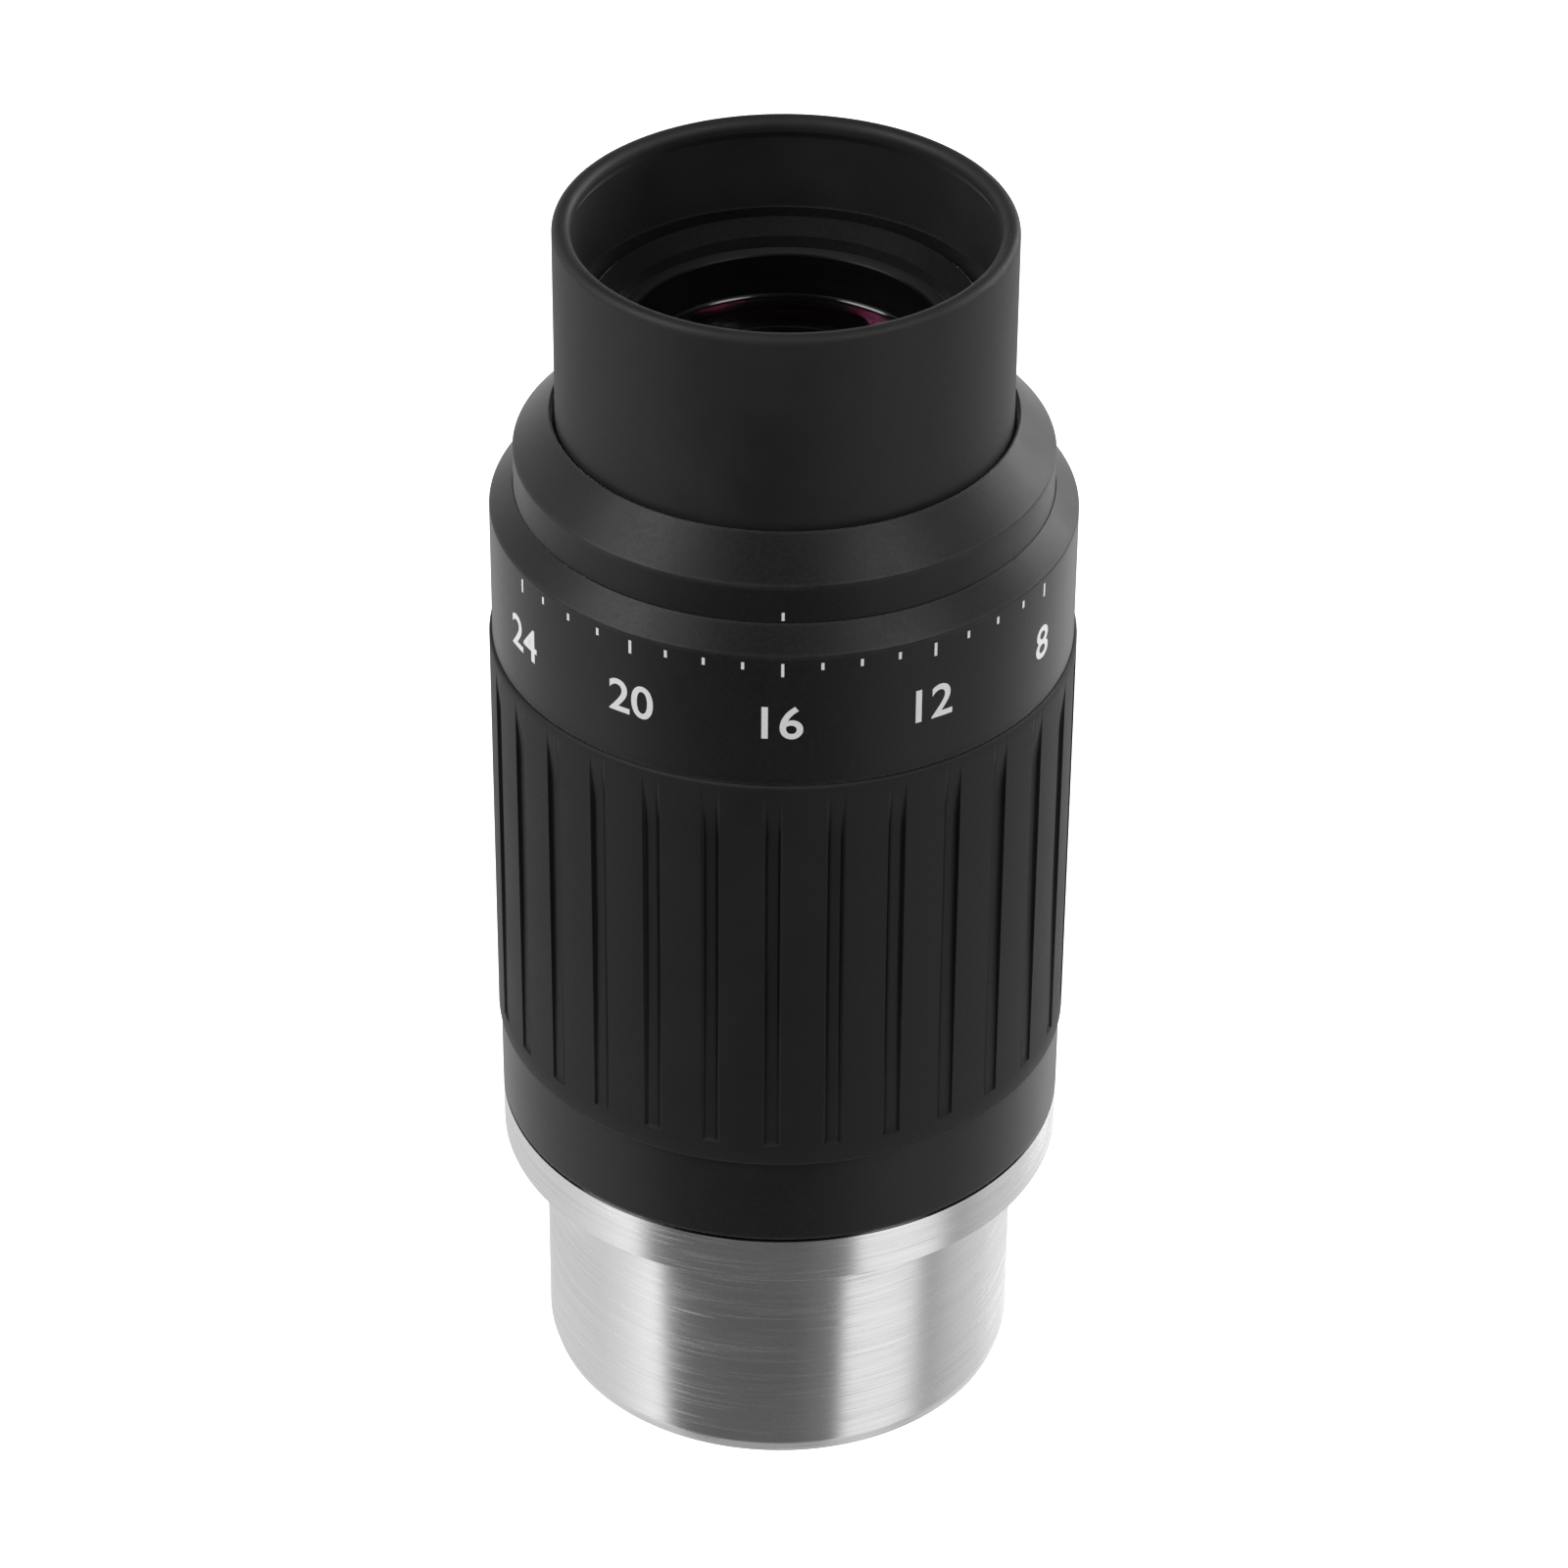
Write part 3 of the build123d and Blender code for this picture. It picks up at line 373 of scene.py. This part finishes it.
# ---- Printed scale -------------------------------------------------------------------------------
def numeral_mesh(text, height):
    """Flat mesh of a numeral, centred on x = 0 with its foot on y = 0, in millimetres."""
    curve = bpy.data.curves.new(text, type="FONT")
    curve.body = text
    curve.align_x = "CENTER"
    curve.size = 1.0
    curve.resolution_u = 6
    curve.offset = 0.012            # strokes a little bolder than the plain font's
    holder = bpy.data.objects.new(text, curve)
    bpy.context.scene.collection.objects.link(holder)
    bpy.context.view_layer.update()
    mesh = bpy.data.meshes.new_from_object(holder)
    bpy.data.objects.remove(holder)
    flat = bmesh.new()
    flat.from_mesh(mesh)
    lowest = min(vertex.co.y for vertex in flat.verts)
    highest = max(vertex.co.y for vertex in flat.verts)
    left = min(vertex.co.x for vertex in flat.verts)
    right = max(vertex.co.x for vertex in flat.verts)
    middle = (left + right) / 2
    scale = height / (highest - lowest)
    for vertex in flat.verts:
        vertex.co = Vector(((vertex.co.x - middle) * scale, (vertex.co.y - lowest) * scale, 0))
    return flat


def bar_mesh(width, height):
    """Flat upright bar with its foot on y = 0."""
    flat = bmesh.new()
    corners = [(-width / 2, 0), (width / 2, 0), (width / 2, height), (-width / 2, height)]
    flat.faces.new([flat.verts.new((x, y, 0)) for x, y in corners])
    return flat


def wrapped_print(name, prints, band_radius):
    """One thin piece of print laid round a band. prints holds (flat mesh, angle, height) entries."""
    strip = 0.4
    vertices, faces = [], []
    for flat, angle, height in prints:
        bmesh.ops.triangulate(flat, faces=flat.faces)
        left = min(vertex.co.x for vertex in flat.verts)
        right = max(vertex.co.x for vertex in flat.verts)
        for cut in range(1, ceil((right - left) / strip)):
            bmesh.ops.bisect_plane(
                flat,
                geom=flat.verts[:] + flat.edges[:] + flat.faces[:],
                plane_co=(left + cut * strip, 0, 0),
                plane_no=(1, 0, 0),
            )
        bmesh.ops.remove_doubles(flat, verts=flat.verts, dist=1e-4)
        solid = bmesh.ops.extrude_face_region(flat, geom=flat.faces[:])
        raised = [item for item in solid["geom"] if isinstance(item, bmesh.types.BMVert)]
        for vertex in raised:
            vertex.co.z += PRINT_THICKNESS
        flat.verts.index_update()
        first = len(vertices)
        for vertex in flat.verts:
            around = radians(angle) + vertex.co.x / band_radius
            radius = band_radius + PRINT_GAP + vertex.co.z
            vertices.append((radius * cos(around), radius * sin(around), height + vertex.co.y))
        faces += [[first + vertex.index for vertex in face.verts] for face in flat.faces]
        flat.free()
    return new_object(name, vertices, faces)


def scale_numerals():
    """Focal lengths in millimetres round the upper band."""
    middle = (len(SCALE_VALUES) - 1) / 2
    prints = []
    for place, text in enumerate(SCALE_VALUES):
        angle = FRONT + (place - middle) * SCALE_STEP
        prints.append((numeral_mesh(text, NUMERAL_HEIGHT), angle, SCALE_BASELINE))
    return wrapped_print("scale_numerals", prints, UPPER_BAND_RADIUS)


def scale_marks():
    """A long mark over each numeral and short ones between them."""
    long_mark, short_mark = 1.5, 0.8
    between = 4
    count = (len(SCALE_VALUES) - 1) * between
    top = UPPER_BAND_TOP - 0.7
    prints = []
    for mark in range(count + 1):
        angle = FRONT + (mark - count / 2) * SCALE_STEP / between
        length = long_mark if mark % between == 0 else short_mark
        prints.append((bar_mesh(MARK_WIDTH, length), angle, top - length))
    return wrapped_print("scale_marks", prints, UPPER_BAND_RADIUS)


def index_mark():
    """Short line at the foot of the shoulder that the scale is read against."""
    mark = (bar_mesh(MARK_WIDTH, 0.9), FRONT, RING_TOP + 0.25)
    return wrapped_print("index_mark", [mark], CAP_RADIUS)


# ---- Materials -----------------------------------------------------------------------------------
GREEN_COATING = (0.016, 0.036, 0.030, 1.0)
MAGENTA_COATING = (0.26, 0.012, 0.10, 1.0)


class Nodes:
    """Short calls that add nodes to a tree. A value is a number, a colour or another node's output."""

    def __init__(self, tree):
        self.tree = tree

    def feed(self, socket, value):
        """Give a socket its value."""
        if isinstance(value, bpy.types.NodeSocket):
            self.tree.links.new(value, socket)
        else:
            socket.default_value = value

    def node(self, kind, inputs=None, **attributes):
        """A new node. inputs are values for its sockets, by name."""
        made = self.tree.nodes.new(kind)
        for name, value in attributes.items():
            setattr(made, name, value)
        for name, value in (inputs or {}).items():
            self.feed(made.inputs[name], value)
        return made

    def maths(self, operation, *values):
        """Result of a Math node."""
        made = self.node("ShaderNodeMath", operation=operation)
        for socket, value in zip(made.inputs, values):
            self.feed(socket, value)
        return made.outputs[0]

    def split(self, vector):
        """X, Y and Z of a vector."""
        return self.node("ShaderNodeSeparateXYZ", {"Vector": vector}).outputs

    def between(self, value, low, high, start=0.3, end=0.7):
        """value from start to end, spread over low to high."""
        inputs = {"Value": value, "From Min": start, "From Max": end, "To Min": low, "To Max": high}
        return self.node("ShaderNodeMapRange", inputs).outputs["Result"]

    def blend(self, share, first, second):
        """A colour between two colours."""
        made = self.node("ShaderNodeMix", data_type="RGBA")
        self.feed(made.inputs[0], share)
        self.feed(made.inputs[6], first)
        self.feed(made.inputs[7], second)
        return made.outputs[2]


class Shader(Nodes):
    """A material with one Principled shader."""

    def __init__(self, name, **settings):
        self.material = bpy.data.materials.new(name)
        self.material.use_nodes = True
        super().__init__(self.material.node_tree)
        self.surface = self.tree.nodes["Principled BSDF"]
        for socket, value in settings.items():
            self.set(socket.replace("_", " "), value)

    def set(self, socket, value):
        """Feed a socket of the Principled shader."""
        self.feed(self.surface.inputs[socket], value)

    def place(self):
        """Position on the piece, in metres."""
        return self.node("ShaderNodeTexCoord").outputs["Object"]

    def height(self):
        """Height on the piece, in metres."""
        return self.split(self.place())["Z"]

    def upward(self):
        """1 where a face looks straight up, 0 where it is upright and -1 where it looks down."""
        facing = self.node("ShaderNodeNewGeometry").outputs["Normal"]
        return self.split(facing)["Z"]

    def edges(self, start, end):
        """1 on sharp outer edges and 0 elsewhere."""
        pointed = self.node("ShaderNodeNewGeometry").outputs["Pointiness"]
        return self.between(pointed, 0.0, 1.0, start, end)

    def noise(self, scale, vector=None, detail=3.0, roughness=0.55):
        """Soft noise around 0.5. The scale is per metre."""
        place = vector or self.place()
        inputs = {"Vector": place, "Scale": scale, "Detail": detail, "Roughness": roughness}
        return self.node("ShaderNodeTexNoise", inputs).outputs["Fac"]

    def bump(self, height, distance, strength=1.0):
        """Raised and sunken grain. The distance is in metres."""
        inputs = {"Height": height, "Distance": distance, "Strength": strength}
        self.set("Normal", self.node("ShaderNodeBump", inputs).outputs["Normal"])


def grey(level):
    """An opaque grey."""
    return (level, level, level, 1.0)


def lathe_lines(shader, across, along):
    """Noise drawn out round the axis, as tool marks are. Scales are per metre."""
    x, y, z = shader.split(shader.place())
    square = shader.maths("ADD", shader.maths("MULTIPLY", x, x), shader.maths("MULTIPLY", y, y))
    up = shader.maths("ADD", z, shader.maths("SQRT", square))
    vector = shader.node("ShaderNodeCombineXYZ", {
        "X": shader.maths("MULTIPLY", x, along),
        "Y": shader.maths("MULTIPLY", y, along),
        "Z": shader.maths("MULTIPLY", up, across),
    }).outputs[0]
    return shader.noise(1.0, vector, 4.0, 0.6)


def bright_aluminium():
    """Turned aluminium: fine lines round the axis, scratches, and painted shade on upward faces."""
    shader = Shader("bright_aluminium", Metallic=1.0, Anisotropic=0.95, Anisotropic_Rotation=0.25)
    fine = shader.maths("MULTIPLY", lathe_lines(shader, 9000.0, 60.0), 0.6)
    broad = shader.maths("MULTIPLY", lathe_lines(shader, 1400.0, 25.0), 0.4)
    lines = shader.maths("ADD", fine, broad)
    tone = shader.blend(shader.between(lines, 0, 1), grey(0.78), grey(0.95))
    # Upward faces are painted near black: painted shade for the shadow in the narrow gaps above them.
    painted_gap_shade = shader.between(shader.upward(), 0, 1, 0.3, 0.6)
    shader.set("Base Color", shader.blend(painted_gap_shade, tone, grey(0.03)))
    smudge = shader.between(shader.noise(60.0), -0.03, 0.03)
    scratched = shader.between(lathe_lines(shader, 5200.0, 100.0), 0.0, 0.22, 0.54, 0.72)
    rough = shader.maths("ADD", shader.between(lines, 0.28, 0.18), smudge)
    shader.set("Roughness", shader.maths("ADD", rough, scratched))
    tangent = shader.node("ShaderNodeTangent", direction_type="RADIAL", axis="Z").outputs[0]
    shader.set("Tangent", tangent)
    shader.bump(lines, 0.000004)
    return shader.material


def black_anodised():
    """Bead-blasted and anodised: a fine mottled grain, a little worn on the edges."""
    shader = Shader("black_anodised", Specular_IOR_Level=0.26, Sheen_Weight=1.0, Sheen_Roughness=0.33)
    grain = shader.noise(2600.0, detail=4.0, roughness=0.7)
    cloud = shader.noise(160.0, detail=3.0)
    wear = shader.node("ShaderNodeAttribute", attribute_name="wear").outputs["Fac"]
    worn = shader.maths("MULTIPLY", wear, shader.between(shader.noise(500.0), 0.3, 1.0))
    tone = shader.blend(shader.between(grain, 0, 1), grey(0.003), grey(0.009))
    tone = shader.blend(shader.between(cloud, 0, 0.2), tone, grey(0.011))
    shader.set("Base Color", shader.blend(shader.maths("MULTIPLY", worn, 0.25), tone, grey(0.06)))
    rough = shader.maths("ADD", shader.between(grain, 0.40, 0.48), shader.between(cloud, -0.02, 0.03))
    shader.set("Roughness", rough)
    shader.bump(grain, 0.00002, 0.6)
    return shader.material


def blackened_inner():
    """Blackened inner parts: flat black bores, smoother upper faces with painted light, a polished lip
    over the eye lens.
    """
    shader = Shader("blackened_inner", Specular_IOR_Level=0.12)
    lines = lathe_lines(shader, 5000.0, 40.0)
    upward = shader.upward()
    # Faces that look up are coloured lighter than the bores: painted light for the light that falls on
    # them from above.
    painted_light_on_level_faces = shader.between(upward, 0.0, 1.0, 0.8, 0.95)
    sloping = shader.between(upward, 0.0, 1.0, 0.4, 0.6)
    lip = shader.maths("COMPARE", shader.height(), LIP_HEIGHT * MM, LIP_HALF_WIDTH * MM)
    polished = shader.maths("MULTIPLY", sloping, lip)
    bore = shader.blend(shader.between(lines, 0, 1), grey(0.0015), grey(0.004))
    satin_and_painted_light = shader.blend(shader.between(lines, 0, 1), grey(0.020), grey(0.034))
    shader.set("Base Color", shader.blend(polished, shader.blend(painted_light_on_level_faces, bore, satin_and_painted_light), grey(0.04)))
    shader.set("Metallic", polished)
    cut = shader.between(sloping, 0.6, 0.36, 0.0, 1.0)
    cut = shader.maths("SUBTRACT", cut, shader.maths("MULTIPLY", polished, 0.28))
    shader.set("Roughness", shader.maths("ADD", cut, shader.between(lines, -0.03, 0.03)))
    shader.bump(lines, 0.00001)
    return shader.material


def rubber(name, low, high, roughness, grain_scale):
    """Black moulded rubber with a fine matt grain."""
    shader = Shader(name, Specular_IOR_Level=0.3, Sheen_Weight=0.2, Sheen_Roughness=0.3)
    grain = shader.noise(grain_scale, detail=3.0, roughness=0.65)
    cloud = shader.noise(110.0, detail=4.0)
    tone = shader.blend(shader.between(cloud, 0, 1), grey(low), grey(high))
    worn = shader.maths("MULTIPLY", shader.edges(0.54, 0.66), 0.35)
    shader.set("Base Color", shader.blend(worn, tone, grey(high * 2.2)))
    rough = shader.between(grain, roughness - 0.05, roughness + 0.05)
    shader.set("Roughness", shader.maths("ADD", rough, shader.between(cloud, -0.04, 0.04)))
    shader.bump(grain, 0.00002, 0.5)
    return shader.material


def lens_glass(name, coating):
    """Shader of clear glass, with the coating's colour in its reflections and a trace of dust."""
    shader = Shader(name, Transmission_Weight=1.0, IOR=1.52, Roughness=0.0, Specular_Tint=coating)
    dust = shader.between(shader.noise(900.0, detail=2.0), 0.0, 1.0, 0.55, 0.8)
    shader.set("Base Color", shader.blend(dust, (0.97, 0.99, 0.98, 1.0), (0.92, 0.94, 0.93, 1.0)))
    return shader


def eye_lens_glass():
    """Glass with the green-black coating on its upper face and the magenta one on its lower face."""
    shader = lens_glass("eye_lens_glass", GREEN_COATING)
    upper_face = shader.maths("GREATER_THAN", shader.height(), EYE_LENS_FACES_SPLIT * MM)
    shader.set("Specular Tint", shader.blend(upper_face, MAGENTA_COATING, GREEN_COATING))
    return shader.material


def metal(name, low, high, roughness):
    """Small machined metal parts: steel pins and screws, brass rollers."""
    shader = Shader(name, Metallic=1.0)
    lines = shader.noise(3000.0, detail=4.0)
    shader.set("Base Color", shader.blend(shader.between(lines, 0, 1), low, high))
    shader.set("Roughness", shader.between(lines, roughness - 0.06, roughness + 0.06))
    shader.bump(lines, 0.000005)
    return shader.material


def white_plastic():
    """Slippery white plastic of the glide washers and the eyecup's glide ring."""
    shader = Shader("white_plastic")
    cloud = shader.noise(400.0)
    tone = shader.blend(shader.between(cloud, 0, 1), (0.7, 0.69, 0.66, 1), (0.8, 0.79, 0.77, 1))
    shader.set("Base Color", tone)
    shader.set("Roughness", shader.between(cloud, 0.38, 0.5))
    return shader.material


def scale_print_with_painted_glow():
    """Light grey screen print, slightly uneven, with a faint painted glow."""
    # The white emission is a painted glow that brightens the print; the print is no lamp.
    shader = Shader("scale_print_with_painted_glow", Emission_Color=grey(1.0), Emission_Strength=0.12)
    speckle = shader.noise(5000.0, detail=3.0, roughness=0.7)
    shader.set("Base Color", shader.blend(shader.between(speckle, 0, 1), grey(0.78), grey(0.9)))
    shader.set("Roughness", shader.between(speckle, 0.5, 0.65))
    shader.bump(speckle, 0.000008)
    return shader.material


MATERIALS = {
    "bright_aluminium": bright_aluminium(),
    "black_anodised": black_anodised(),
    "blackened_inner": blackened_inner(),
    "grip_rubber": rubber("grip_rubber", 0.011, 0.016, 0.6, 3500.0),
    "eyecup_rubber": rubber("eyecup_rubber", 0.015, 0.022, 0.55, 4500.0),
    "lens_glass": lens_glass("lens_glass", GREEN_COATING).material,
    "steel": metal("steel", grey(0.45), grey(0.6), 0.35),
    "brass": metal("brass", (0.55, 0.38, 0.14, 1), (0.7, 0.5, 0.2, 1), 0.32),
    "white_plastic": white_plastic(),
}


def dress(piece, material):
    """Give a piece one material in place of any it has."""
    piece.data.materials.clear()
    piece.data.materials.append(material)


# ---- The object ----------------------------------------------------------------------------------
for node in NODES.values():
    slot_name = node.data.materials[0].name.split(".")[0]
    dress(node, MATERIALS[slot_name])


def stand_in(piece, node_name, body, slot_name, material=None):
    """A detailed piece takes the place of a CAD node."""
    dress(piece, material or MATERIALS[slot_name])
    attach(piece, body)
    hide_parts(node_name)


stand_in(barrel(), "nosepiece_barrel", "base", "bright_aluminium")
stand_in(ring_housing(), "zoom_ring", "zoom_ring", "black_anodised")
stand_in(grip(), "grip_rubber", "zoom_ring", "grip_rubber")
stand_in(shoulder_piece(), "shoulder_cap", "base", "black_anodised")
stand_in(eye_lens(), "eye_lens_front", "base", "lens_glass", eye_lens_glass())

paint = scale_print_with_painted_glow()
printed = ((scale_numerals(), "zoom_ring"), (scale_marks(), "zoom_ring"), (index_mark(), "base"))
for piece, body in printed:
    dress(piece, paint)
    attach(piece, body)


# ---- Studio --------------------------------------------------------------------------------------
def floor():
    """A large pale floor: a disc with two rings of faces round it."""
    sides = 96
    radii = (300.0, 1200.0, 4000.0)
    vertices = [point for radius in radii for point in circle(radius, 0.0, sides)]
    faces = [list(range(sides))]
    for ring in range(len(radii) - 1):
        first = ring * sides
        for side in range(sides):
            beside = (side + 1) % sides
            faces.append((first + side, first + beside, first + sides + beside, first + sides + side))
    piece = new_object("studio_floor", vertices, faces)
    shader = Shader(
        "studio_floor",
        Roughness=0.8,
        Specular_IOR_Level=0.0,
        Emission_Color=grey(1.0),
        Emission_Strength=1.0,
    )
    paper = shader.noise(40.0)
    shader.set("Base Color", shader.blend(shader.between(paper, 0, 1), grey(0.86), grey(0.88)))
    dress(piece, shader.material)
    piece.visible_glossy = False
    piece.visible_diffuse = False


def studio_light():
    """Light from all round: bright walls to the left and right and a darker front.

    From low to high there are a table, a room and a ceiling, each with its own grey levels round the
    object, given as (bearing, level). Bearing 0 is the front and 90 the right. Straight below it is
    plain grey. The camera itself sees white.
    """
    world = bpy.data.worlds.new("studio")
    world.use_nodes = True
    bpy.context.scene.world = world
    nodes = Nodes(world.node_tree)
    nodes.tree.nodes.clear()

    x, y, z = nodes.split(nodes.node("ShaderNodeTexCoord").outputs["Generated"])
    bearing = nodes.maths("ARCTAN2", x, nodes.maths("MULTIPLY", y, -1.0))
    turn = nodes.between(bearing, 0.0, 1.0, -pi, pi)

    def ramp(stops):
        """Grey levels round the object, from (bearing, level) stops."""
        around = nodes.node("ShaderNodeValToRGB", {"Fac": turn})
        levels = around.color_ramp.elements
        while len(levels) < len(stops):
            levels.new(0.5)
        for element, (angle, level) in zip(levels, stops):
            element.position = (angle + 180) / 360
            element.color = grey(level)
        return around.outputs["Color"]

    def change(start, end, first, second):
        """first up to the height start, second beyond the height end."""
        span = {"Value": z, "From Min": start, "From Max": end}
        height = nodes.node("ShaderNodeMapRange", span, interpolation_type="SMOOTHSTEP")
        return nodes.blend(height.outputs["Result"], first, second)

    table = ramp((
        (-180, 0.74), (-150, 0.70), (-96, 0.64), (-80, 0.74), (-63, 0.98), (-59, 0.98), (-55, 0.10),
        (-20, 0.085), (8, 0.08), (30, 0.17), (34, 0.90), (68, 0.92), (75, 0.30), (98, 0.56),
        (145, 0.80), (180, 0.74),
    ))
    room = ramp((
        (-180, 0.15), (-160, 0.65), (-110, 1.0), (-60, 0.60), (-10, 0.2), (40, 0.25), (90, 0.9),
        (140, 1.0), (162, 0.3), (180, 0.10),
    ))
    ceiling = ramp((
        (-180, 0.03), (-130, 0.04), (-60, 0.12), (-20, 0.07), (8, 0.09), (50, 0.2), (130, 0.05),
        (180, 0.03),
    ))
    colour = change(-0.3, 0.05, table, room)
    colour = change(0.34, 0.54, colour, ceiling)
    colour = change(-0.8, -0.95, colour, grey(0.5))

    lit = nodes.node("ShaderNodeBackground", {"Color": colour})
    seen = nodes.node("ShaderNodeBackground", {"Color": grey(1.0)})
    path = nodes.node("ShaderNodeLightPath")
    chosen = nodes.node("ShaderNodeMixShader")
    nodes.feed(chosen.inputs[0], path.outputs["Is Camera Ray"])
    nodes.feed(chosen.inputs[1], lit.outputs[0])
    nodes.feed(chosen.inputs[2], seen.outputs[0])
    nodes.node("ShaderNodeOutputWorld", {"Surface": chosen.outputs[0]})


def softboxes():
    """Softboxes in front to the left and to the right, and low behind the object on the right.

    Each has a direction from the object in metres, a width, a height and a brightness.
    """
    aim = Vector((0.0, 0.0, 0.1))
    boxes = (
        (Vector((-0.70, -0.24, 0.67)), 0.46, 0.46, 8.0),
        (Vector((0.54, -0.42, 0.73)), 0.34, 0.42, 6.4),
        (Vector((0.79, 0.56, 0.27)), 0.60, 0.36, 6.2),
    )
    for direction, width, height, level in boxes:
        data = bpy.data.lights.new("softbox", type="AREA")
        data.shape = "RECTANGLE"
        data.size = width
        data.size_y = height
        data.energy = level * pi * width * height
        holder = bpy.data.objects.new("softbox", data)
        holder.location = aim + direction
        holder.rotation_euler = direction.to_track_quat("Z", "Y").to_euler()
        holder.visible_camera = False
        bpy.context.scene.collection.objects.link(holder)


def camera():
    """Long lens, in front of the eyepiece and above it."""
    place = Vector((0.0, -0.4892, 0.4068))
    pitch, roll, yaw = radians(34.511), radians(0.455), radians(0.026)
    forward = Vector((sin(yaw) * cos(pitch), cos(yaw) * cos(pitch), -sin(pitch)))
    right = Vector((cos(yaw), -sin(yaw), 0.0))
    up = right.cross(forward)
    tilted_right = cos(roll) * right + sin(roll) * up
    tilted_up = -sin(roll) * right + cos(roll) * up
    turn = Matrix((tilted_right, tilted_up, -forward)).transposed()
    data = bpy.data.cameras.new("camera")
    data.lens = 130.04
    data.sensor_width = 36.0
    data.clip_start = 0.01
    data.clip_end = 20.0
    holder = bpy.data.objects.new("camera", data)
    holder.matrix_world = Matrix.Translation(place) @ turn.to_4x4()
    bpy.context.scene.collection.objects.link(holder)
    bpy.context.scene.camera = holder


floor()
studio_light()
softboxes()
camera()
bpy.context.scene.view_settings.view_transform = "Standard"
